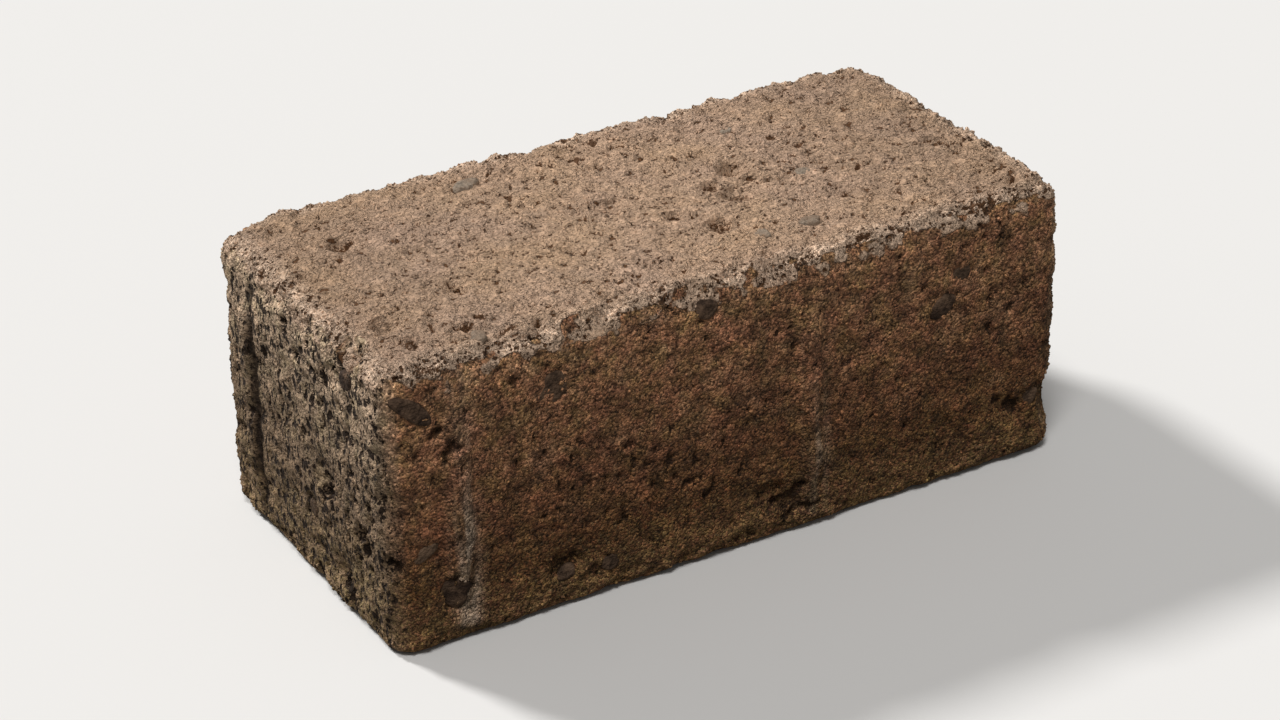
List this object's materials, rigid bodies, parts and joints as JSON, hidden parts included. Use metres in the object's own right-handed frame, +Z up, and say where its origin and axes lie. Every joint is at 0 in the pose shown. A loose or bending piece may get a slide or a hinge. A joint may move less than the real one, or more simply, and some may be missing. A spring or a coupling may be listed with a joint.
{
  "type": "concrete brick",
  "caption": "Weathered concrete brick for paving, pressed as one solid block with cast spacer ribs on its sides and a worn, chipped top edge; lies flat on its bed face.",
  "frame": {"origin": "middle of the bed face, on the surface that the brick lies on", "axes": "+X along the length, +Y along the width, +Z up through the wearing face"},
  "size_m": [0.2, 0.1, 0.0785],
  "materials": {
    "weathered_concrete": "rough pressed concrete, worn and stained"
  },
  "bodies": {
    "root": {"concrete_brick": "weathered_concrete"}
  },
  "joints": []
}
